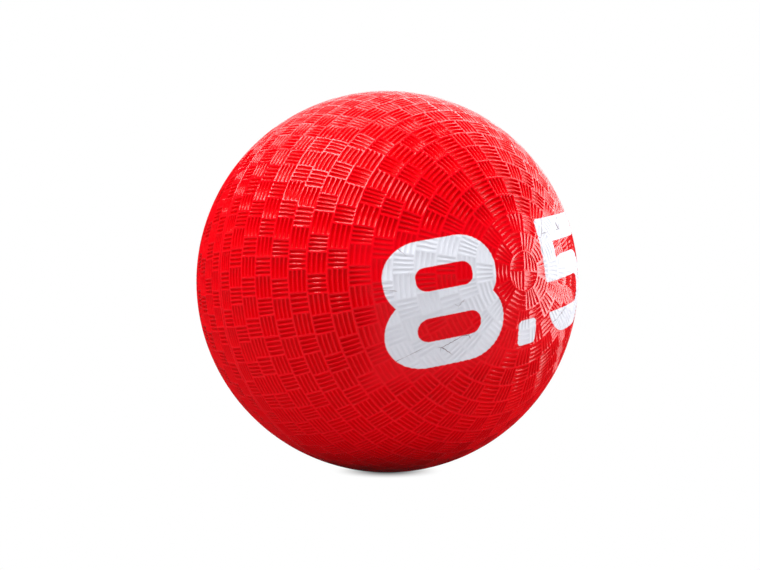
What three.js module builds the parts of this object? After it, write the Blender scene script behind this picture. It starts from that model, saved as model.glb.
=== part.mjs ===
// Moulded rubber playground ball with a needle valve.
// Millimetres, +Z up, origin at the ball's centre.
// The mould's pole axis runs along Y: the plain half faces -Y and the valve sits at the +Y pole,
// so the parting plane of the two half covers is the XZ plane.
// Every piece is a body of revolution about the pole axis.

import * as THREE from 'three';

// The ball and its layers, from the outside in.
const ballDiameter = 216;
const coverThickness = 1.6;
const windingThickness = 0.4;
const bladderThickness = 0.7;
const bondGap = 0.3;

// The cover's moulded features.
const weaveDepth = 0.45;
const partingGrooveWidth = 1.1;
const partingGrooveDepth = 0.6;
const valvePadRadius = 11;

// The valve housing: neck through the layers, flange inside the bladder, barrel pointing inwards.
const neckRadius = 6;
const faceDrop = 0.25;
const flangeRadius = 18;
const flangeThickness = 1.2;
const flangeRimThickness = 0.5;
const barrelRadius = 5.6;
const barrelEndRadius = 4.2;
const barrelWallBelowPlug = 1.6;
const throatRadius = 1.2;

// The reinforcing patch between the bladder and the flange.
const patchRadius = 26;
const patchThickness = 0.6;

// The self-sealing plug that the needle goes through.
const plugClearance = 0.3;
const plugHeadRadius = 3.4;
const plugHeadThickness = 1.3;
const plugStemRadius = 2.2;
const plugLength = 15;
const plugNoseLength = 2.4;
const plugNoseRadius = 1.4;
const beadRise = 0.8;
const beadWidth = 2.4;
const beadDepth = 7;
const leadInRadius = 1.2;
const leadInDepth = 1.6;
const needlePathRadius = 0.35;

// Facets.
const coverSegments = 60;
const coverArcSteps = 15;
const layerSegments = 30;
const layerArcSteps = 15;
const valveSegments = 24;
const flangeArcSteps = 4;
const beadSteps = 6;

// Radii of each layer's faces.
const ballRadius = ballDiameter / 2;
const coverInside = ballRadius - coverThickness;
const windingOutside = coverInside - bondGap;
const windingInside = windingOutside - windingThickness;
const bladderOutside = windingInside - bondGap;
const bladderInside = bladderOutside - bladderThickness;
const patchOutside = bladderInside - bondGap;
const patchInside = patchOutside - patchThickness;
const flangeOutside = patchInside - bondGap;
const neckHoleRadius = neckRadius + bondGap;

// Heights along the valve's axis.
const padSphereRadius = ballRadius - weaveDepth;
const valveFaceY = padSphereRadius - faceDrop;

// The angle off the pole at which a sphere of this radius is this far from the axis.
function angleAt(distance, sphereRadius) {
  return Math.asin(distance / sphereRadius);
}

// The height at which a sphere of this radius is this far from the axis.
function heightAt(distance, sphereRadius) {
  return Math.sqrt(sphereRadius ** 2 - distance ** 2);
}

// Profile points along an arc about the ball's centre. Angles are measured off the +Y pole.
function sphereArc(sphereRadius, fromAngle, toAngle, steps) {
  const points = [];
  for (let i = 0; i <= steps; i += 1) {
    const angle = fromAngle + (toAngle - fromAngle) * i / steps;
    const offAxis = sphereRadius * Math.sin(angle);
    const isOnAxis = angle === 0 || angle === Math.PI;
    points.push(new THREE.Vector2(isOnAxis ? 0 : offAxis, sphereRadius * Math.cos(angle)));
  }
  return points;
}

// Revolves a profile about Y. The profile runs from the +Y end down its outer side,
// and a ring's profile closes on its first point.
function revolve(name, profile, segments, material) {
  const isRing = profile[0].x > 0;
  const upward = [...profile].reverse();
  const closed = isRing ? [...upward, upward[0].clone()] : upward;
  const mesh = new THREE.Mesh(new THREE.LatheGeometry(closed, segments), material);
  mesh.name = name;
  return mesh;
}

const redRubber = new THREE.MeshStandardMaterial({ color: 0xd90416, roughness: 0.5, metalness: 0 });
const nylonThread = new THREE.MeshStandardMaterial({ color: 0xd8d2c4, roughness: 0.8, metalness: 0 });
const butylRubber = new THREE.MeshStandardMaterial({ color: 0x1c1c1e, roughness: 0.6, metalness: 0 });
const patchRubber = new THREE.MeshStandardMaterial({ color: 0x2a2a2c, roughness: 0.7, metalness: 0 });
const housingRubber = new THREE.MeshStandardMaterial({ color: 0x161617, roughness: 0.55, metalness: 0 });
const plugRubber = new THREE.MeshStandardMaterial({ color: 0x303032, roughness: 0.5, metalness: 0 });

// The half cover that faces -Y. Its edge is chamfered to its side of the parting groove.
function makeFrontCover() {
  const grooveAngle = Math.PI / 2 + angleAt(partingGrooveWidth / 2, ballRadius);
  const outside = sphereArc(ballRadius, grooveAngle, Math.PI, coverArcSteps);
  const inside = sphereArc(coverInside, Math.PI, Math.PI / 2, coverArcSteps);
  const grooveFloor = new THREE.Vector2(ballRadius - partingGrooveDepth, 0);
  inside[inside.length - 1].y = 0;
  // Turned to start and end on the axis, with the parting face between.
  const profile = [...inside, grooveFloor, ...outside];
  return revolve('cover_front_half', profile, coverSegments, redRubber);
}

// The half cover that faces +Y, with a plain round pad and a hole for the valve's neck.
function makeRearCover() {
  const grooveAngle = Math.PI / 2 - angleAt(partingGrooveWidth / 2, ballRadius);
  const padEdgeAngle = angleAt(valvePadRadius, ballRadius);
  const padRim = sphereArc(padSphereRadius, angleAt(neckHoleRadius, padSphereRadius),
    angleAt(valvePadRadius - weaveDepth, padSphereRadius), 1);
  const outside = sphereArc(ballRadius, padEdgeAngle, grooveAngle, coverArcSteps);
  const holeInside = angleAt(neckHoleRadius, coverInside);
  const inside = sphereArc(coverInside, Math.PI / 2, holeInside, coverArcSteps);
  const grooveFloor = new THREE.Vector2(ballRadius - partingGrooveDepth, 0);
  inside[0].y = 0;
  const profile = [...padRim, ...outside, grooveFloor, ...inside];
  return revolve('cover_rear_half', profile, coverSegments, redRubber);
}

// One face of a whole shell, from the valve's hole to the far pole, with finer steps over the patch.
function layerArc(sphereRadius) {
  const holeAngle = angleAt(neckHoleRadius, sphereRadius);
  const patchAngle = angleAt(patchRadius, sphereRadius);
  const overPatch = sphereArc(sphereRadius, holeAngle, patchAngle, flangeArcSteps);
  const beyond = sphereArc(sphereRadius, patchAngle, Math.PI, layerArcSteps);
  return [...overPatch, ...beyond.slice(1)];
}

// A whole shell, open only where the valve's neck passes through.
function makeLayer(name, outsideRadius, insideRadius, material) {
  const profile = [...layerArc(insideRadius).reverse(), ...layerArc(outsideRadius)];
  return revolve(name, profile, layerSegments, material);
}

// A shallow dished disc with a hole for the neck, cemented inside the bladder.
function makePatch() {
  const holeOutside = angleAt(neckHoleRadius, patchOutside);
  const holeInside = angleAt(neckHoleRadius, patchInside);
  const outside = sphereArc(patchOutside, holeOutside, angleAt(patchRadius, patchOutside), flangeArcSteps);
  const rimInside = angleAt(patchRadius - patchThickness, patchInside);
  const inside = sphereArc(patchInside, rimInside, holeInside, flangeArcSteps);
  return revolve('valve_patch', [...outside, ...inside], valveSegments, patchRubber);
}

// Half round points on the side of a stem or bore, from its upper end to its lower one.
function beadPoints(stemRadius, rise, width, middleY) {
  const points = [];
  for (let i = 0; i <= beadSteps; i += 1) {
    const turn = Math.PI * i / beadSteps;
    const offAxis = stemRadius + rise * Math.sin(turn);
    points.push(new THREE.Vector2(offAxis, middleY + width / 2 * Math.cos(turn)));
  }
  return points;
}

const plugEndY = valveFaceY - plugLength;
const beadMiddleY = valveFaceY - beadDepth;
const seatY = plugEndY - plugClearance;

// Neck, flange and barrel in one moulding, bored and stepped to hold the plug.
function makeHousing() {
  const boreRadius = plugStemRadius + plugClearance;
  const recessRadius = plugHeadRadius + plugClearance;
  const recessY = valveFaceY - plugHeadThickness - plugClearance;
  const barrelEndY = seatY - barrelWallBelowPlug;
  const neckAngle = angleAt(neckRadius, flangeOutside);
  const flangeTop = sphereArc(flangeOutside, neckAngle, angleAt(flangeRadius, flangeOutside), flangeArcSteps);
  const rimInside = flangeOutside - flangeRimThickness;
  const rootInside = flangeOutside - flangeThickness;
  const rim = new THREE.Vector2(flangeRadius - flangeRimThickness,
    heightAt(flangeRadius - flangeRimThickness, rimInside));
  const root = new THREE.Vector2(barrelRadius + flangeThickness,
    heightAt(barrelRadius + flangeThickness, rootInside));
  const rootFillet = new THREE.Vector2(barrelRadius, root.y - flangeThickness);
  const profile = [
    new THREE.Vector2(recessRadius, valveFaceY),
    new THREE.Vector2(neckRadius, valveFaceY),
    ...flangeTop,
    rim,
    root,
    rootFillet,
    new THREE.Vector2(barrelEndRadius, barrelEndY),
    new THREE.Vector2(throatRadius, barrelEndY),
    new THREE.Vector2(throatRadius, seatY),
    new THREE.Vector2(boreRadius, seatY),
    ...beadPoints(boreRadius, beadRise, beadWidth + 2 * plugClearance, beadMiddleY).reverse(),
    new THREE.Vector2(boreRadius, recessY),
    new THREE.Vector2(recessRadius, recessY),
  ];
  return revolve('valve_housing', profile, valveSegments, housingRubber);
}

// A headed plug with a holding bead, pierced by the needle's path.
function makePlug() {
  const headBackY = valveFaceY - plugHeadThickness;
  const profile = [
    new THREE.Vector2(leadInRadius, valveFaceY),
    new THREE.Vector2(plugHeadRadius, valveFaceY),
    new THREE.Vector2(plugHeadRadius, headBackY),
    new THREE.Vector2(plugStemRadius, headBackY),
    ...beadPoints(plugStemRadius, beadRise, beadWidth, beadMiddleY),
    new THREE.Vector2(plugStemRadius, plugEndY + plugNoseLength),
    new THREE.Vector2(plugNoseRadius, plugEndY),
    new THREE.Vector2(needlePathRadius, plugEndY),
    new THREE.Vector2(needlePathRadius, valveFaceY - leadInDepth),
  ];
  return revolve('valve_plug', profile, valveSegments, plugRubber);
}

const ball = new THREE.Group();
ball.name = 'playground_ball';
ball.add(makeFrontCover());
ball.add(makeRearCover());
ball.add(makeLayer('thread_winding', windingOutside, windingInside, nylonThread));
ball.add(makeLayer('bladder', bladderOutside, bladderInside, butylRubber));
ball.add(makePatch());
ball.add(makeHousing());
ball.add(makePlug());

export default ball;
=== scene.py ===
# Playground ball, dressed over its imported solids.
# Metres, origin at the ball's centre, +Z up. The pole of the front half faces -Y, the valve +Y.
import math
import random

import bmesh
import bpy
from mathutils import Matrix, Vector, noise


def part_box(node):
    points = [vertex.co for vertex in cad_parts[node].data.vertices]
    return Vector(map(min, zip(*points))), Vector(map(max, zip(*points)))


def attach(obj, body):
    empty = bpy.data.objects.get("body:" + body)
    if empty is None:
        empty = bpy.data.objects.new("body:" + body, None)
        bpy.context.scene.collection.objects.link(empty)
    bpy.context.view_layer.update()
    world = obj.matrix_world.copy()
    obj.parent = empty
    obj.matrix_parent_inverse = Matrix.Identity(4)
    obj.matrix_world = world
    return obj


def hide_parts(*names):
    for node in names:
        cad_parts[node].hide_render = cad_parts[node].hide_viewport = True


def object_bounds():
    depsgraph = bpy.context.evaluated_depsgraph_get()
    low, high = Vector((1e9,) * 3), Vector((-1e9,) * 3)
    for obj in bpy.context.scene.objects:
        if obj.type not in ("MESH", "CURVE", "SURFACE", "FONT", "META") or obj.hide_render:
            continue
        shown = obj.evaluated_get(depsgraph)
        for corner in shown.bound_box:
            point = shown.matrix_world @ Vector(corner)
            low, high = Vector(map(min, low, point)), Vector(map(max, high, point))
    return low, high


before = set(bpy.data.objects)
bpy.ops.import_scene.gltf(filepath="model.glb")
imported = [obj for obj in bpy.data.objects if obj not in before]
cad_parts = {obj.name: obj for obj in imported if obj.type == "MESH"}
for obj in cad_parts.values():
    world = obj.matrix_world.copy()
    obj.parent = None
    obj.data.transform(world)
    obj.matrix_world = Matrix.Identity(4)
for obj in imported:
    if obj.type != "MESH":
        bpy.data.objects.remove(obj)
cad_low, cad_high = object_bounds()


# Bladder
# A seamless black butyl bag that holds the air, with one hole for the valve.
# Butyl is blown in a polished mould and dusted with talc so that it doesn't stick to itself.

mm = 0.001


def linear_colour(hex_code):
    """An sRGB hex colour as the linear values that a shader takes."""
    channels = [int(hex_code[i:i + 2], 16) / 255 for i in (1, 3, 5)]
    linear = [c / 12.92 if c <= 0.04045 else ((c + 0.055) / 1.055) ** 2.4 for c in channels]
    return (*linear, 1)


def add_node(tree, kind, inputs=(), **settings):
    """Adds a shader node, sets its properties, and fills or links its inputs."""
    node = tree.nodes.new(kind)
    for name, value in settings.items():
        setattr(node, name, value)
    for name, value in dict(inputs).items():
        if isinstance(value, bpy.types.NodeSocket):
            tree.links.new(value, node.inputs[name])
        else:
            node.inputs[name].default_value = value
    return node


def start_material(name):
    """A new material: its node tree, its surface shader, and Object coordinates in millimetres."""
    material = bpy.data.materials.new(name)
    material.use_nodes = True
    tree = material.node_tree
    tree.nodes.clear()
    surface = add_node(tree, "ShaderNodeBsdfPrincipled")
    add_node(tree, "ShaderNodeOutputMaterial", {"Surface": surface.outputs["BSDF"]})
    place = add_node(tree, "ShaderNodeTexCoord")
    in_mm = add_node(tree, "ShaderNodeVectorMath", {0: place.outputs["Object"], "Scale": 1 / mm},
                     operation="SCALE")
    return material, tree, surface, in_mm.outputs["Vector"]


def talced_butyl():
    """Blown butyl rubber: near black, satin, with a grey bloom of talc in soft patches."""
    patch_size = 22
    dust_size = 0.8
    material, tree, surface, point = start_material("talced_butyl")
    patches = add_node(tree, "ShaderNodeTexNoise",
                       {"Vector": point, "Scale": 1 / patch_size, "Detail": 4, "Roughness": 0.6})
    bloom = add_node(tree, "ShaderNodeMapRange",
                     {"Value": patches.outputs["Fac"], "From Min": 0.42, "From Max": 0.68})
    dust = add_node(tree, "ShaderNodeTexNoise", {"Vector": point, "Scale": 1 / dust_size, "Detail": 3})
    speckle = add_node(tree, "ShaderNodeMath",
                       {0: bloom.outputs["Result"], 1: dust.outputs["Fac"]}, operation="MULTIPLY")
    colour = add_node(tree, "ShaderNodeMix",
                      {"Factor": speckle.outputs["Value"], 6: linear_colour("#1B1B1D"),
                       7: linear_colour("#4A4A4B")}, data_type="RGBA")
    rough = add_node(tree, "ShaderNodeMapRange",
                     {"Value": speckle.outputs["Value"], "To Min": 0.48, "To Max": 0.8})
    grain = add_node(tree, "ShaderNodeBump",
                     {"Height": dust.outputs["Fac"], "Strength": 0.3, "Distance": 0.03 * mm})
    tree.links.new(colour.outputs[2], surface.inputs["Base Color"])
    tree.links.new(rough.outputs["Result"], surface.inputs["Roughness"])
    tree.links.new(grain.outputs["Normal"], surface.inputs["Normal"])
    surface.inputs["IOR"].default_value = 1.53
    return material


def refinish(node, material):
    """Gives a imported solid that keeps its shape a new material."""
    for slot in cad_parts[node].material_slots:
        slot.material = material


refinish("bladder", talced_butyl())


# Valve patch
# A dished disc of black rubber sheet, cemented inside the bladder round the valve.
# Its face is buffed with a wire wheel before the cement goes on, which leaves it matt.


def buffed_rubber():
    """Buffed rubber sheet: dark grey and matt, with short scratches that go round the disc."""
    scratch_pitch = 0.7
    material, tree, surface, point = start_material("buffed_rubber")
    scratches = add_node(tree, "ShaderNodeTexWave",
                         {"Vector": point, "Scale": 0.5 / scratch_pitch, "Distortion": 3,
                          "Detail": 3, "Detail Scale": 2},
                         wave_type="RINGS", rings_direction="Y")
    colour = add_node(tree, "ShaderNodeMix",
                      {"Factor": scratches.outputs["Fac"], 6: linear_colour("#232325"),
                       7: linear_colour("#38383A")}, data_type="RGBA")
    relief = add_node(tree, "ShaderNodeBump",
                      {"Height": scratches.outputs["Fac"], "Strength": 0.5, "Distance": 0.05 * mm})
    tree.links.new(colour.outputs[2], surface.inputs["Base Color"])
    tree.links.new(relief.outputs["Normal"], surface.inputs["Normal"])
    surface.inputs["Roughness"].default_value = 0.78
    surface.inputs["IOR"].default_value = 1.53
    return material


refinish("valve_patch", buffed_rubber())


# Valve housing
# One black rubber moulding: a neck through the cover, a flange inside the bladder, and a barrel
# that points inwards. It is bored and stepped to grip the plug, and its face shows in the pad.

housing_low, housing_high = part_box("valve_housing")
face_height = housing_high.y
barrel_end = housing_low.y
flange_radius = housing_high.x
neck_radius = 6 * mm
recess_radius = 3.7 * mm
recess_depth = 1.6 * mm
bore_radius = 2.5 * mm
throat_radius = 1.2 * mm
barrel_radius = 5.6 * mm
barrel_end_radius = 4.2 * mm
barrel_floor = 1.6 * mm
flange_top = 103.4 * mm
flange_thickness = 1.2 * mm
flange_rim = 0.5 * mm
bead_depth = 7 * mm
bead_rise = 0.8 * mm
bead_half_width = 1.5 * mm
bead_steps = 8


def sphere_height(sphere_radius, off_axis):
    """How high a sphere about the ball's centre is at this distance from the pole axis."""
    return math.sqrt(sphere_radius ** 2 - off_axis ** 2)


def turn_on_pole_axis(profile, steps):
    """Spins a closed profile of (distance from the axis, height) round the pole axis."""
    turned = bmesh.new()
    corners = [turned.verts.new((off_axis, height, 0)) for off_axis, height in profile]
    edges = [turned.edges.new(pair) for pair in zip(corners, corners[1:] + corners[:1])]
    bmesh.ops.spin(turned, geom=corners + edges, cent=(0, 0, 0), axis=(0, 1, 0),
                   angle=math.tau, steps=steps, use_merge=True)
    bmesh.ops.remove_doubles(turned, verts=turned.verts, dist=0.001 * mm)
    bmesh.ops.recalc_face_normals(turned, faces=turned.faces)
    return turned


def round_edges(solid, offset, sharpest):
    """Bevels every edge of a solid that turns by more than an angle in degrees."""
    edges = [e for e in solid.edges if e.is_manifold and e.calc_face_angle() > math.radians(sharpest)]
    bmesh.ops.bevel(solid, geom=edges, offset=offset, offset_type="OFFSET", affect="EDGES",
                    segments=2, profile=0.5, material=-1)


def finish_piece(name, solid, material, node, sharpest=50):
    """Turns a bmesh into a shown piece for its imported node, with hard edges above an angle in degrees."""
    mesh = bpy.data.meshes.new(name)
    solid.to_mesh(mesh)
    solid.free()
    mesh.shade_smooth()
    mesh.set_sharp_from_angle(angle=math.radians(sharpest))
    mesh.materials.append(material)
    piece = bpy.data.objects.new(name, mesh)
    bpy.context.collection.objects.link(piece)
    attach(piece, "root")
    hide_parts(node)
    return piece


def moulded_valve_rubber(name, shade, roughness):
    """Press-moulded rubber: dark, satin, with the fine spark-eroded grain of its mould."""
    grain_size = 0.35
    smudge_scale = 0.3
    material, tree, surface, point = start_material(name)
    grain = add_node(tree, "ShaderNodeTexNoise", {"Vector": point, "Scale": 1 / grain_size, "Detail": 3})
    rough = add_node(tree, "ShaderNodeMapRange",
                     {"Value": grain.outputs["Fac"], "To Min": roughness - 0.08,
                      "To Max": roughness + 0.08})
    relief = add_node(tree, "ShaderNodeBump",
                      {"Height": grain.outputs["Fac"], "Strength": 0.4, "Distance": 0.03 * mm})
    smudge = add_node(tree, "ShaderNodeTexNoise", {"Vector": point, "Scale": smudge_scale, "Detail": 3})
    colour = add_node(tree, "ShaderNodeMix",
                      {"Factor": smudge.outputs["Fac"], 6: linear_colour(shade),
                       7: linear_colour("#3C3A39")}, data_type="RGBA")
    tree.links.new(colour.outputs[2], surface.inputs["Base Color"])
    tree.links.new(rough.outputs["Result"], surface.inputs["Roughness"])
    tree.links.new(relief.outputs["Normal"], surface.inputs["Normal"])
    surface.inputs["IOR"].default_value = 1.52
    return material


seat_height = barrel_end + barrel_floor
flange_steps = [neck_radius + (flange_radius - neck_radius) * i / 5 for i in range(6)]
rim_inside = flange_radius - flange_rim
root_radius = barrel_radius + flange_thickness
root_height = sphere_height(flange_top - flange_thickness, root_radius)
bead_middle = face_height - bead_depth
bead_turns = [math.pi * i / bead_steps for i in range(bead_steps + 1)]
bead_arc = [(bore_radius + bead_rise * math.sin(turn), bead_middle - bead_half_width * math.cos(turn))
            for turn in bead_turns]
housing_profile = [
    (recess_radius, face_height),
    (neck_radius, face_height),
    *[(r, sphere_height(flange_top, r)) for r in flange_steps],
    (rim_inside, sphere_height(flange_top - flange_rim, rim_inside)),
    (root_radius, root_height),
    (barrel_radius, root_height - flange_thickness),
    (barrel_end_radius, barrel_end),
    (throat_radius, barrel_end),
    (throat_radius, seat_height),
    (bore_radius, seat_height),
    *bead_arc,
    (bore_radius, face_height - recess_depth),
    (recess_radius, face_height - recess_depth),
]
housing = turn_on_pole_axis(housing_profile, steps=96)
round_edges(housing, offset=0.15 * mm, sharpest=60)
finish_piece("valve_housing_moulding", housing,
             moulded_valve_rubber("moulded_housing_rubber", "#141415", 0.5), "valve_housing")


# Valve plug
# A soft, headed rubber plug pressed into the housing, which seals itself when the needle leaves.
# A cone leads the needle into a path that the rubber squeezes shut.

plug_low, plug_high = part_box("valve_plug")
head_radius = plug_high.x
head_thickness = 1.3 * mm
stem_radius = 2.2 * mm
plug_end = plug_low.y
nose_length = 2.4 * mm
nose_radius = 1.4 * mm
plug_bead_half_width = 1.2 * mm
lead_in_radius = 1.2 * mm
lead_in_depth = 1.6 * mm
needle_path_radius = 0.35 * mm

head_back = face_height - head_thickness
plug_bead = [(stem_radius + bead_rise * math.sin(turn),
              bead_middle + plug_bead_half_width * math.cos(turn)) for turn in bead_turns]
plug_profile = [
    (lead_in_radius, face_height),
    (head_radius, face_height),
    (head_radius, head_back),
    (stem_radius, head_back),
    *plug_bead,
    (stem_radius, plug_end + nose_length),
    (nose_radius, plug_end),
    (needle_path_radius, plug_end),
    (needle_path_radius, face_height - lead_in_depth),
]
plug = turn_on_pole_axis(plug_profile, steps=64)
round_edges(plug, offset=0.12 * mm, sharpest=40)
finish_piece("valve_plug_moulding", plug,
             moulded_valve_rubber("soft_plug_rubber", "#2A2A2C", 0.42), "valve_plug")


# Thread winding
# Nylon thread wound in every direction over the inflated bladder and set in rubber cement.
# It keeps the ball round, and the half covers are vulcanised onto it.


def wound_nylon():
    """Wound thread in cement: cream, with three crossing lays of thread and a slight sheen."""
    thread_pitch = 0.9
    turns = [(0.3, 0.1, 0.6), (1.2, 0.7, 2.0), (2.1, 1.6, 0.4)]
    material, tree, surface, point = start_material("wound_nylon")
    lay = None
    for turn in turns:
        turned = add_node(tree, "ShaderNodeMapping", {"Vector": point, "Rotation": turn})
        thread = add_node(tree, "ShaderNodeTexWave",
                          {"Vector": turned.outputs["Vector"], "Scale": 0.5 / thread_pitch,
                           "Distortion": 1.2, "Detail": 1}, wave_profile="SIN")
        if lay is None:
            lay = thread.outputs["Fac"]
        else:
            lay = add_node(tree, "ShaderNodeMath", {0: lay, 1: thread.outputs["Fac"]},
                           operation="MAXIMUM").outputs["Value"]
    colour = add_node(tree, "ShaderNodeMix",
                      {"Factor": lay, 6: linear_colour("#8A7E68"), 7: linear_colour("#E2DCCB")},
                      data_type="RGBA")
    relief = add_node(tree, "ShaderNodeBump", {"Height": lay, "Strength": 0.8, "Distance": 0.2 * mm})
    tree.links.new(colour.outputs[2], surface.inputs["Base Color"])
    tree.links.new(relief.outputs["Normal"], surface.inputs["Normal"])
    surface.inputs["Roughness"].default_value = 0.62
    return material


refinish("thread_winding", wound_nylon())


# Half covers
# Red natural rubber, moulded in two halves that meet at a fine groove between plain rails.
# The mould presses courses of tiles round each pole. A tile is four channels with thin ribs
# between them, laid in turn along and across the course, which makes the basket weave.

ball_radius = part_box("cover_front_half")[1].z
cover_inside = ball_radius - 1.6 * mm
groove_half_width = 0.55 * mm
groove_depth = 0.6 * mm
rail_width = 0.7 * mm
course_gap = 0.1 * mm
lining_edge = 0.5 * mm
lining_rows = 22
lining_steps = 96

# A tile as the mould has it. The ribs wander a little, as on a hand-cut mould.
channels = 4
channel_depth = 0.55 * mm
tile_size = 10 * mm
tile_margin = 0.98
rib_half_width = 0.32 * mm
rib_round = 0.2
wall_width = 0.38 * mm
wander = 0.16 * mm
wander_length = 7 * mm

# Where each course of tiles ends, in degrees off the pole, from the rail inwards.
course_ends = [85.1, 79.9, 74.6, 69.3, 64.0, 58.8, 53.3, 47.9,
               42.1, 36.9, 31.5, 26.1, 20.8, 15.5, 10.3, 5.2]
courses = len(course_ends)

# Pairs of tiles in each course, where one pair starts, in degrees, and how a pair is shared out.
pairs_in_course = [35, 35, 33, 33, 32, 29, 29, 25, 25, 21, 19, 17, 14, 11, 8, 5]
pair_starts = [174, 178.5, 176, 181.5, 176.5, 180, 175, 180,
               171.5, 159.5, 164, 171, 158, 170, 150, 165]
first_tile_share = 0.55
uneven_share = 0.03

# The plain pad round the valve, sunk a little below the ribs, with the hole for the valve's neck.
valve_hole_radius = 6.3 * mm
valve_hole_edge = 0.3 * mm
valve_hole_slope = 0.25 * mm
pad_middle_radius = 8.5 * mm
valve_pad_radius = 11 * mm
valve_ring_width = 0.6 * mm
pad_drop = 0.45 * mm

# The print across the front pole: 8.5, the ball's size in inches, tilted and a little low. It is
# pressed on hot, which leaves only a share of the relief under it and fades out over a margin.
numeral_height = 60 * mm
numeral_width = 54 * mm
stroke = 12.5 * mm
numeral_tilt = math.radians(12.2)
numeral_drop = 6.5 * mm
numeral_gap = 16 * mm
print_half_width = 70 * mm
press_margin = 12 * mm
pressed_share = 0.42
ink_edge = 0.25 * mm


def flat_tile(along_course):
    """A flat tile of channels, 1 by 1, with z from 0 on the ribs to 1 in the channels."""
    near_rim = 0.499
    tile = bmesh.new()
    bmesh.ops.create_grid(tile, x_segments=2, y_segments=channels, size=0.5)
    rows = [[f for f in tile.faces if int((f.calc_center_median().y + 0.5) * channels) == row]
            for row in range(channels)]
    for channel in rows:
        bmesh.ops.inset_region(tile, faces=channel, thickness=rib_half_width / tile_size,
                               depth=rib_round, use_boundary=True, use_even_offset=True)
        bmesh.ops.inset_region(tile, faces=channel, thickness=wall_width / tile_size,
                               depth=1 - rib_round, use_boundary=True, use_even_offset=True)
    pressed = [v for v in tile.verts if max(abs(v.co.x), abs(v.co.y)) < near_rim]
    bmesh.ops.scale(tile, verts=pressed, vec=(tile_margin, tile_margin, 1))
    # All four sides need the same number of edges, so that neighbours close up when one is turned.
    long_sides = [e for e in tile.edges if e.is_boundary and all(abs(v.co.y) > near_rim for v in e.verts)]
    bmesh.ops.subdivide_edges(tile, edges=long_sides, cuts=channels // 2 - 1)
    if not along_course:
        bmesh.ops.rotate(tile, verts=tile.verts, cent=(0, 0, 0),
                         matrix=Matrix.Rotation(math.pi / 2, 3, "Z"))
    bmesh.ops.translate(tile, verts=tile.verts, vec=(0.5, 0.5, 0))
    mesh = bpy.data.meshes.new("flat_tile")
    tile.to_mesh(mesh)
    tile.free()
    return mesh


def on_ball(radius, off_pole, around, side):
    """A point by its radius, its angle off the half's pole and its angle round the pole axis."""
    off_axis = radius * math.sin(off_pole)
    return Vector((off_axis * math.cos(around), side * radius * math.cos(off_pole),
                   off_axis * math.sin(around)))


def depth_left(point):
    """The share of the channel depth that the hot press of the print leaves at a point."""
    if point.y > 0:
        return 1
    height = point.z * math.cos(numeral_tilt) - point.x * math.sin(numeral_tilt) + numeral_drop
    width = point.x * math.cos(numeral_tilt) + point.z * math.sin(numeral_tilt)
    beyond = max(abs(height) - numeral_height / 2, abs(width) - print_half_width) / press_margin
    share = min(max(beyond, 0), 1)
    return pressed_share + (1 - pressed_share) * share * share * (3 - 2 * share)


def press_tile(skin, tile, place, loop_of):
    """Adds a flat tile to the skin, bent to the ball by place, and numbers its rim by loop_of."""
    skin.from_mesh(tile)
    skin.verts.ensure_lookup_table()
    rim = skin.verts.layers.int["rim"]
    for vert in skin.verts[-len(tile.vertices):]:
        across, along, depth = vert.co
        vert[rim] = loop_of(across, along)
        surface = place(across, along, ball_radius)
        vert.co = place(across, along, ball_radius - depth * channel_depth * depth_left(surface))


def lay_course(skin, tiles, course, inner, outer, side, chance):
    """One ring of tiles between two angles off the pole, with slightly uneven tile widths."""
    pairs = pairs_in_course[course]
    period = math.tau / pairs
    start = math.radians(pair_starts[course])
    if side > 0:
        start += chance.uniform(0, period)
    edges = []
    for pair in range(pairs):
        for share in (0, first_tile_share):
            uneven = chance.uniform(-uneven_share, uneven_share)
            edges.append(start + period * (pair + share + uneven))
    edges.append(edges[0] + math.tau)
    for i, (begin, end) in enumerate(zip(edges, edges[1:])):
        def place(across, along, radius):
            off_pole = inner + (outer - inner) * along
            return on_ball(radius, off_pole, begin + (end - begin) * across, side)

        def loop_of(across, along):
            if along < 0.001:
                return 2 * course + 1
            return 2 * course + 2 if along > 0.999 else 0

        press_tile(skin, tiles[i % 2], place, loop_of)


def lay_cap(skin, tiles, cap_angle, side):
    """Four tiles in a disc, which close the weave over a pole."""
    for column in range(2):
        for row in range(2):
            def place(across, along, radius):
                x = column + across - 1
                y = row + along - 1
                disc_x = x * math.sqrt(1 - y * y / 2)
                disc_y = y * math.sqrt(1 - x * x / 2)
                return on_ball(radius, cap_angle * math.hypot(disc_x, disc_y),
                               math.atan2(disc_x, disc_y), side)

            def loop_of(across, along):
                edge = max(abs(column + across - 1), abs(row + along - 1))
                return 2 * courses + 2 if edge > 0.999 else 0

            press_tile(skin, tiles[(column + row) % 2], place, loop_of)


def let_ribs_wander(skin, seed):
    """Shifts the weave sideways by a slow drift, and leaves the heights alone."""
    noise.seed_set(seed)
    for vert in skin.verts:
        drift = noise.noise_vector(vert.co / wander_length) * wander
        vert.co = (vert.co + drift).normalized() * vert.co.length


def rim_edges(skin, number):
    """The open edges of one numbered rim."""
    rim = skin.verts.layers.int["rim"]
    return [e for e in skin.edges if e.is_boundary and all(v[rim] == number for v in e.verts)]


def carry_rim(skin, edges, radius, off_pole, side):
    """Extrudes a rim and moves it to a new radius and angle off the pole."""
    made = bmesh.ops.extrude_edge_only(skin, edges=edges)["geom"]
    for vert in [g for g in made if isinstance(g, bmesh.types.BMVert)]:
        vert.co = on_ball(radius, off_pole, math.atan2(vert.co.z, vert.co.x), side)
    return [g for g in made if isinstance(g, bmesh.types.BMEdge) and g.is_boundary]


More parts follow.
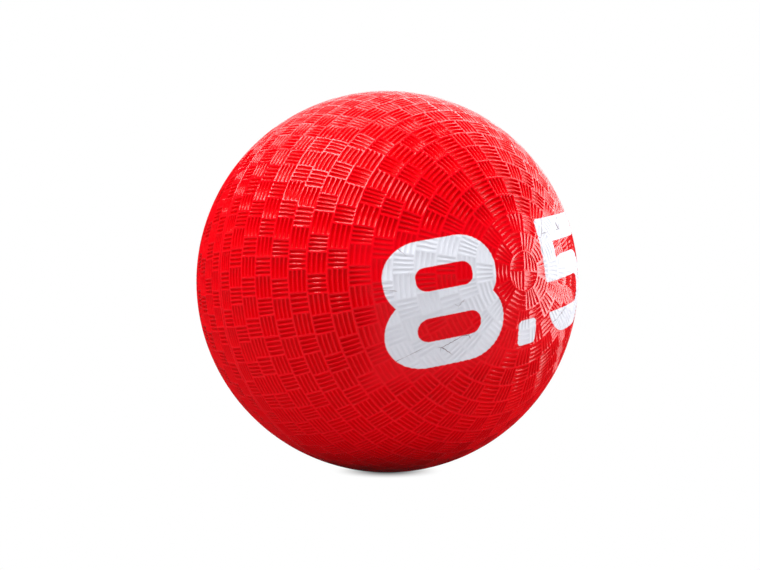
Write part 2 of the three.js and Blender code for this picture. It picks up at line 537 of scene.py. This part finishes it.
def spin_arc(skin, points):
    """Spins an open run of points round the pole axis and returns the vertices that it made."""
    corners = [skin.verts.new(p) for p in points]
    edges = [skin.edges.new(pair) for pair in zip(corners, corners[1:])]
    before = set(skin.verts)
    bmesh.ops.spin(skin, geom=corners + edges, cent=(0, 0, 0), axis=(0, 1, 0), angle=math.tau,
                   steps=lining_steps, use_merge=True)
    return corners + [v for v in skin.verts if v not in before]


def rim_through(skin, verts, corner):
    """The open edges among some spun vertices, on the circle through one corner of their run."""
    near = {v for v in verts if v.is_valid and abs(v.co.y - corner.y) < 0.01 * mm
            and abs(math.hypot(v.co.x, v.co.z) - corner.x) < 0.01 * mm}
    return [e for e in skin.edges if e.is_boundary and e.verts[0] in near and e.verts[1] in near]


def lining_run(end_angle, side):
    """A run of points inside the half, from its edge to an angle off its pole."""
    start_angle = math.pi / 2 - lining_edge / ball_radius
    return [on_ball(cover_inside, start_angle + (end_angle - start_angle) * i / lining_rows, 0, side)
            for i in range(lining_rows + 1)]


def valve_pad_run():
    """A run of points up the valve's hole, across the sunk pad and onto the ring round it."""
    pad_sphere = ball_radius - pad_drop
    profile = [(valve_hole_radius, pad_sphere - valve_hole_edge),
               (valve_hole_radius + valve_hole_slope, pad_sphere),
               (pad_middle_radius, pad_sphere),
               (valve_pad_radius - pad_drop, pad_sphere),
               (valve_pad_radius, ball_radius),
               (valve_pad_radius + valve_ring_width, ball_radius)]
    return [Vector((off_axis, sphere_height(radius, off_axis), 0)) for off_axis, radius in profile]


def mould_half(side, seed):
    """The closed shell of one half: weave, rails and groove outside, smooth inside."""
    chance = random.Random(seed)
    tiles = [flat_tile(True), flat_tile(False)]
    skin = bmesh.new()
    skin.verts.layers.int.new("rim")
    gap = course_gap / ball_radius
    outer = math.pi / 2 - (groove_half_width + rail_width) / ball_radius
    for course in range(courses):
        inner = math.radians(course_ends[course])
        if side > 0 and course == courses - 1:
            inner = (valve_pad_radius + valve_ring_width) / ball_radius
        lay_course(skin, tiles, course, inner + gap / 2, outer - gap / 2, side, chance)
        outer = inner
    if side < 0:
        lay_cap(skin, tiles, outer - gap / 2, side)
    bmesh.ops.remove_doubles(skin, verts=skin.verts, dist=0.01 * mm)
    let_ribs_wander(skin, seed)
    for course in range(courses - 1):
        loops = rim_edges(skin, 2 * course + 1) + rim_edges(skin, 2 * course + 4)
        bmesh.ops.bridge_loops(skin, edges=loops)
    outer_rim = rim_edges(skin, 2)
    groove_edge = math.pi / 2 - groove_half_width / ball_radius
    for radius, off_pole in [(ball_radius, groove_edge), (ball_radius - groove_depth, math.pi / 2),
                             (cover_inside, math.pi / 2)]:
        outer_rim = carry_rim(skin, outer_rim, radius, off_pole, side)
    last_course_rim = rim_edges(skin, 2 * courses - 1)
    if side < 0:
        bmesh.ops.bridge_loops(skin, edges=last_course_rim + rim_edges(skin, 2 * courses + 2))
        lining = lining_run(0, side)
        spun = spin_arc(skin, lining)
    else:
        lining = lining_run(math.asin(valve_hole_radius / cover_inside), side) + valve_pad_run()
        spun = spin_arc(skin, lining)
        bmesh.ops.bridge_loops(skin, edges=last_course_rim + rim_through(skin, spun, lining[-1]))
    bmesh.ops.bridge_loops(skin, edges=outer_rim + rim_through(skin, spun, lining[0]))
    bmesh.ops.remove_doubles(skin, verts=skin.verts, dist=0.002 * mm)
    bmesh.ops.recalc_face_normals(skin, faces=skin.faces)
    return skin


def box_distance(tree, point, centre, half_size, corner):
    """The distance in millimetres from a point to the rim of a rounded box."""
    away = add_node(tree, "ShaderNodeVectorMath", {0: point, 1: (centre[0], centre[1], 0)},
                    operation="SUBTRACT")
    folded = add_node(tree, "ShaderNodeVectorMath", {0: away.outputs["Vector"]}, operation="ABSOLUTE")
    inset = add_node(tree, "ShaderNodeVectorMath",
                     {0: folded.outputs["Vector"],
                      1: (half_size[0] - corner, half_size[1] - corner, 0)}, operation="SUBTRACT")
    beyond = add_node(tree, "ShaderNodeVectorMath", {0: inset.outputs["Vector"], 1: (0, 0, 0)},
                      operation="MAXIMUM")
    outside = add_node(tree, "ShaderNodeVectorMath", {0: beyond.outputs["Vector"]}, operation="LENGTH")
    parts = add_node(tree, "ShaderNodeSeparateXYZ", {"Vector": inset.outputs["Vector"]})
    deepest = add_node(tree, "ShaderNodeMath", {0: parts.outputs["X"], 1: parts.outputs["Y"]},
                       operation="MAXIMUM")
    inside = add_node(tree, "ShaderNodeMath", {0: deepest.outputs["Value"], 1: 0}, operation="MINIMUM")
    both = add_node(tree, "ShaderNodeMath", {0: outside.outputs["Value"], 1: inside.outputs["Value"]},
                    operation="ADD")
    return add_node(tree, "ShaderNodeMath", {0: both.outputs["Value"], 1: corner},
                    operation="SUBTRACT").outputs["Value"]


def stroke_distance(tree, point, centre, half_size, corner):
    """The distance to a stroke that runs round the rim of a rounded box."""
    rim = add_node(tree, "ShaderNodeMath", {0: box_distance(tree, point, centre, half_size, corner)},
                   operation="ABSOLUTE")
    return add_node(tree, "ShaderNodeMath", {0: rim.outputs["Value"], 1: stroke / mm / 2},
                    operation="SUBTRACT").outputs["Value"]


def nearest(tree, *distances):
    """The least of several distances, which joins their shapes."""
    least = distances[0]
    for other in distances[1:]:
        least = add_node(tree, "ShaderNodeMath", {0: least, 1: other}, operation="MINIMUM").outputs["Value"]
    return least


def numeral_ink(tree, point):
    """How much white ink covers a point: 8.5, the ball's size in inches, across the front pole."""
    half_width = numeral_width / mm / 2
    half_height = numeral_height / mm / 2
    half_stroke = stroke / mm / 2
    middle = half_width + numeral_gap / mm
    reach = half_width - half_stroke
    rise = (half_height - half_stroke) / 2
    outward = add_node(tree, "ShaderNodeVectorMath", {0: point}, operation="NORMALIZE")
    on_skin = add_node(tree, "ShaderNodeVectorMath",
                       {0: outward.outputs["Vector"], "Scale": ball_radius / mm}, operation="SCALE")
    turned = add_node(tree, "ShaderNodeMapping",
                      {"Vector": on_skin.outputs["Vector"], "Rotation": (0, numeral_tilt, 0),
                       "Location": (0, 0, numeral_drop / mm)})
    parts = add_node(tree, "ShaderNodeSeparateXYZ", {"Vector": turned.outputs["Vector"]})
    flat = add_node(tree, "ShaderNodeCombineXYZ", {"X": parts.outputs["X"], "Y": parts.outputs["Z"]})
    page = flat.outputs["Vector"]
    eight = nearest(tree, stroke_distance(tree, page, (-middle, rise), (reach - 1.5, rise), 11),
                    stroke_distance(tree, page, (-middle, -rise), (reach, rise), 11.5))
    dot = box_distance(tree, page, (0, -half_height + half_stroke), (half_stroke, half_stroke), 2.5)
    bowl = stroke_distance(tree, page, (middle, 2 - rise), (reach, rise + 2), 14)
    opening = box_distance(tree, page, (middle - half_width, 2 - rise),
                           (half_width - 2, rise + 2 - half_stroke), 1)
    shut = add_node(tree, "ShaderNodeMath", {0: opening, 1: -1}, operation="MULTIPLY")
    hook = add_node(tree, "ShaderNodeMath", {0: bowl, 1: shut.outputs["Value"]}, operation="MAXIMUM")
    stem = box_distance(tree, page, (middle - half_width + half_stroke, rise + 2),
                        (half_stroke, half_height - rise - 2), 2)
    bar = box_distance(tree, page, (middle, half_height - half_stroke), (half_width - 2, half_stroke), 2)
    five = nearest(tree, hook.outputs["Value"], stem, bar)
    numerals = nearest(tree, eight, dot, five)
    ragged = add_node(tree, "ShaderNodeTexNoise", {"Vector": point, "Scale": 0.9, "Detail": 3})
    wobble = add_node(tree, "ShaderNodeMapRange",
                      {"Value": ragged.outputs["Fac"], "To Min": -0.15, "To Max": 0.15})
    edge = add_node(tree, "ShaderNodeMath", {0: numerals, 1: wobble.outputs["Result"]}, operation="ADD")
    ink = add_node(tree, "ShaderNodeMapRange",
                   {"Value": edge.outputs["Value"], "From Min": ink_edge / mm, "From Max": -ink_edge / mm},
                   interpolation_type="SMOOTHSTEP")
    front = add_node(tree, "ShaderNodeMath", {0: parts.outputs["Y"], 1: 0}, operation="LESS_THAN")
    return add_node(tree, "ShaderNodeMath", {0: ink.outputs["Result"], 1: front.outputs["Value"]},
                    operation="MULTIPLY").outputs["Value"]


def dirt_specks(tree, point):
    """Where a few specks of grit are stuck to the cover, each about half a millimetre across."""
    spacing = 13
    speck_radius = 0.34
    speck_share = 0.4
    cells = add_node(tree, "ShaderNodeTexVoronoi", {"Vector": point, "Scale": 1 / spacing})
    near = add_node(tree, "ShaderNodeMapRange",
                    {"Value": cells.outputs["Distance"], "From Min": speck_radius / spacing,
                     "From Max": 0.6 * speck_radius / spacing})
    chance = add_node(tree, "ShaderNodeSeparateXYZ", {"Vector": cells.outputs["Color"]})
    chosen = add_node(tree, "ShaderNodeMath", {0: chance.outputs["X"], 1: 1 - speck_share},
                      operation="GREATER_THAN")
    return add_node(tree, "ShaderNodeMath", {0: near.outputs["Result"], 1: chosen.outputs["Value"]},
                    operation="MULTIPLY").outputs["Value"]


def ink_cracks(tree, point):
    """Hairline cracks, here and there, drawn at 0.3 mm so that they show."""
    crack_spacing = 19
    patch_size = 26
    cells = add_node(tree, "ShaderNodeTexVoronoi", {"Vector": point, "Scale": 1 / crack_spacing},
                     feature="DISTANCE_TO_EDGE")
    line = add_node(tree, "ShaderNodeMapRange",
                    {"Value": cells.outputs["Distance"], "From Min": 0.2 / crack_spacing,
                     "From Max": 0.08 / crack_spacing})
    patches = add_node(tree, "ShaderNodeTexNoise", {"Vector": point, "Scale": 1 / patch_size, "Detail": 2})
    where = add_node(tree, "ShaderNodeMapRange",
                     {"Value": patches.outputs["Fac"], "From Min": 0.54, "From Max": 0.6})
    return add_node(tree, "ShaderNodeMath", {0: line.outputs["Result"], 1: where.outputs["Result"]},
                    operation="MULTIPLY").outputs["Value"]


def moulded_red_rubber():
    """Press-moulded natural rubber: saturated red, with painted shade that makes it darker in the channels
    and a painted highlight that makes it lighter on the ribs, dull in the channels and glossy on the ribs.

    The print on it is a satin white ink, with a few hairline cracks.
    """
    cloud_size = 38
    grain_size = 0.5
    ink_roughness = 0.5
    material, tree, surface, point = start_material("moulded_red_rubber")
    radius = add_node(tree, "ShaderNodeVectorMath", {0: point}, operation="LENGTH")
    height = add_node(tree, "ShaderNodeMapRange",
                      {"Value": radius.outputs["Value"], "From Min": (ball_radius - channel_depth) / mm,
                       "From Max": ball_radius / mm})
    clouds = add_node(tree, "ShaderNodeTexNoise",
                      {"Vector": point, "Scale": 1 / cloud_size, "Detail": 4, "Roughness": 0.55})
    rib = add_node(tree, "ShaderNodeMix",
                   {"Factor": clouds.outputs["Fac"], 6: linear_colour("#D80014"),
                    7: linear_colour("#E60412")}, data_type="RGBA")
    # Painted shade and painted highlight: by depth alone, the red is darker in the channels and lighter on
    # the ribs.
    rubber = add_node(tree, "ShaderNodeMix",
                      {"Factor": height.outputs["Result"], 6: linear_colour("#C10004"),
                       7: rib.outputs[2]}, data_type="RGBA")
    ink = numeral_ink(tree, point)
    cracked = add_node(tree, "ShaderNodeMix",
                       {"Factor": ink_cracks(tree, point), 6: linear_colour("#D3D5DE"),
                        7: linear_colour("#83747B")}, data_type="RGBA")
    printed = add_node(tree, "ShaderNodeMix", {"Factor": ink, 6: rubber.outputs[2], 7: cracked.outputs[2]},
                       data_type="RGBA")
    dirty = add_node(tree, "ShaderNodeMix",
                     {"Factor": dirt_specks(tree, point), 6: printed.outputs[2],
                      7: linear_colour("#3B0A10")}, data_type="RGBA")
    grain = add_node(tree, "ShaderNodeTexNoise", {"Vector": point, "Scale": 1 / grain_size, "Detail": 3})
    polish = add_node(tree, "ShaderNodeMapRange",
                      {"Value": height.outputs["Result"], "From Min": 0.2, "From Max": 0.8,
                       "To Min": 0.2, "To Max": 0.1})
    rough = add_node(tree, "ShaderNodeMath",
                     {0: grain.outputs["Fac"], 1: 0.12, 2: polish.outputs["Result"]},
                     operation="MULTIPLY_ADD")
    satin = add_node(tree, "ShaderNodeMix", {"Factor": ink, 2: rough.outputs["Value"], 3: ink_roughness},
                     data_type="FLOAT")
    relief = add_node(tree, "ShaderNodeBump",
                      {"Height": grain.outputs["Fac"], "Strength": 0.35, "Distance": 0.04 * mm})
    gloss = add_node(tree, "ShaderNodeMapRange",
                     {"Value": height.outputs["Result"], "From Min": 0.3, "To Min": 0.02, "To Max": 0.34})
    tree.links.new(dirty.outputs[2], surface.inputs["Base Color"])
    tree.links.new(satin.outputs[0], surface.inputs["Roughness"])
    tree.links.new(relief.outputs["Normal"], surface.inputs["Normal"])
    surface.inputs["IOR"].default_value = 1.5
    # The gloss differs from rib to channel. A program that can't follow that takes the even level.
    surface.inputs["Specular IOR Level"].default_value = 0.2
    tree.links.new(gloss.outputs["Result"], surface.inputs["Specular IOR Level"])
    return material


cover_rubber = moulded_red_rubber()
finish_piece("cover_front_moulding", mould_half(side=-1, seed=11), cover_rubber, "cover_front_half",
             sharpest=100)
finish_piece("cover_rear_moulding", mould_half(side=1, seed=12), cover_rubber, "cover_rear_half",
             sharpest=100)


# Floor, light and camera
# A sheet of matt white paper in a white surround, lit by large soft lights from above and behind.
# The camera stands low and to the left of the front pole, as the photograph's outline and weave show.

camera_azimuth = math.radians(-38.2)
camera_elevation = math.radians(-3.5)
camera_distance = 5 * ball_radius
focal_length = 44.3
ball_in_picture = (387.2, 281.6)
picture_size = (760, 570)

floor_shade = 0.6
shadow_start = 2 * mm
shadow_end = 32 * mm
lamp_distance = 1.1

towards_camera = Vector((math.sin(camera_azimuth) * math.cos(camera_elevation),
                         -math.cos(camera_azimuth) * math.cos(camera_elevation),
                         math.sin(camera_elevation)))
camera_data = bpy.data.cameras.new("camera")
camera_data.lens = focal_length
camera_data.sensor_width = 36
camera_data.clip_start = 0.01
camera_data.shift_x = (picture_size[0] / 2 - ball_in_picture[0]) / picture_size[0]
camera_data.shift_y = (ball_in_picture[1] - picture_size[1] / 2) / picture_size[0]
camera = bpy.data.objects.new("camera", camera_data)
camera.location = towards_camera * camera_distance
camera.rotation_euler = (-towards_camera).to_track_quat("-Z", "Y").to_euler()
bpy.context.collection.objects.link(camera)
bpy.context.scene.camera = camera

floor_mesh = bpy.data.meshes.new("floor")
floor_sheet = bmesh.new()
bmesh.ops.create_grid(floor_sheet, x_segments=1, y_segments=1, size=6)
bmesh.ops.translate(floor_sheet, verts=floor_sheet.verts, vec=(0, 0, cad_low.z))
floor_sheet.to_mesh(floor_mesh)
floor_sheet.free()
floor = bpy.data.objects.new("floor", floor_mesh)
bpy.context.collection.objects.link(floor)
floor_material = bpy.data.materials.new("matt_white_paper")
floor_material.use_nodes = True
floor_tree = floor_material.node_tree
floor_tree.nodes.clear()
paper = add_node(floor_tree, "ShaderNodeBsdfDiffuse",
                 {"Color": (floor_shade, floor_shade, floor_shade, 1)})
white = add_node(floor_tree, "ShaderNodeEmission", {"Color": (1, 1, 1, 1), "Strength": 1})
floor_place = add_node(floor_tree, "ShaderNodeTexCoord")
under_ball = add_node(floor_tree, "ShaderNodeVectorMath",
                      {0: floor_place.outputs["Object"], 1: (0, 0, cad_low.z)}, operation="DISTANCE")
# The camera sees the paper as white, apart from the ball's shadow close to where it touches.
fade = add_node(floor_tree, "ShaderNodeMapRange",
                {"Value": under_ball.outputs["Value"], "From Min": shadow_start, "From Max": shadow_end},
                interpolation_type="SMOOTHSTEP")
floor_seen = add_node(floor_tree, "ShaderNodeLightPath")
bare = add_node(floor_tree, "ShaderNodeMath",
                {0: fade.outputs["Result"], 1: floor_seen.outputs["Is Camera Ray"]}, operation="MULTIPLY")
floor_look = add_node(floor_tree, "ShaderNodeMixShader",
                      {"Fac": bare.outputs["Value"], 1: paper.outputs["BSDF"], 2: white.outputs["Emission"]})
add_node(floor_tree, "ShaderNodeOutputMaterial", {"Surface": floor_look.outputs["Shader"]})
floor_mesh.materials.append(floor_material)
# The photograph shows no mirror image of the floor in the rubber, so the floor gives it none.
floor.visible_glossy = False

to_right = Vector((math.cos(camera_azimuth), math.sin(camera_azimuth), 0))
to_viewer = Vector((math.sin(camera_azimuth), -math.cos(camera_azimuth), 0))


def soft_light(name, turn, lift, size, power):
    """A square soft light, turned from the camera's side and lifted, both in degrees."""
    lamp = bpy.data.lights.new(name, "AREA")
    lamp.size = size
    lamp.energy = power
    light = bpy.data.objects.new(name, lamp)
    level = to_right * math.sin(math.radians(turn)) + to_viewer * math.cos(math.radians(turn))
    upwards = Vector((0, 0, math.sin(math.radians(lift))))
    light.location = lamp_distance * (level * math.cos(math.radians(lift)) + upwards)
    light.rotation_euler = (-light.location).to_track_quat("-Z", "Y").to_euler()
    bpy.context.collection.objects.link(light)
    return light


# The upper left light makes the highlight, and the two at the back the pale haze along the rim.
# Two of the lights only fill: their glare is kept off the rubber, as a polarising filter does.
soft_light("upper_left_light", turn=-53, lift=56, size=0.6, power=17)
soft_light("upper_right_light", turn=43, lift=65, size=0.5, power=11).visible_glossy = False
soft_light("right_light", turn=101, lift=4, size=0.6, power=10)
soft_light("left_light", turn=-85, lift=8, size=0.6, power=2).visible_glossy = False
soft_light("back_right_light", turn=137, lift=39, size=0.9, power=8)
soft_light("back_light", turn=194, lift=54, size=0.9, power=7)

world = bpy.data.worlds.new("white_surround")
world.use_nodes = True
bpy.context.scene.world = world
world_tree = world.node_tree
world_tree.nodes.clear()
# White behind the ball, and faint for the light on it. It has no metal or glass to mirror the white.
path = add_node(world_tree, "ShaderNodeLightPath")
level = add_node(world_tree, "ShaderNodeMapRange",
                 {"Value": path.outputs["Is Camera Ray"], "To Min": 0.05, "To Max": 1})
sky = add_node(world_tree, "ShaderNodeBackground",
               {"Color": (1, 1, 1, 1), "Strength": level.outputs["Result"]})
add_node(world_tree, "ShaderNodeOutputWorld", {"Surface": sky.outputs["Background"]})

bpy.context.scene.view_settings.view_transform = "Standard"
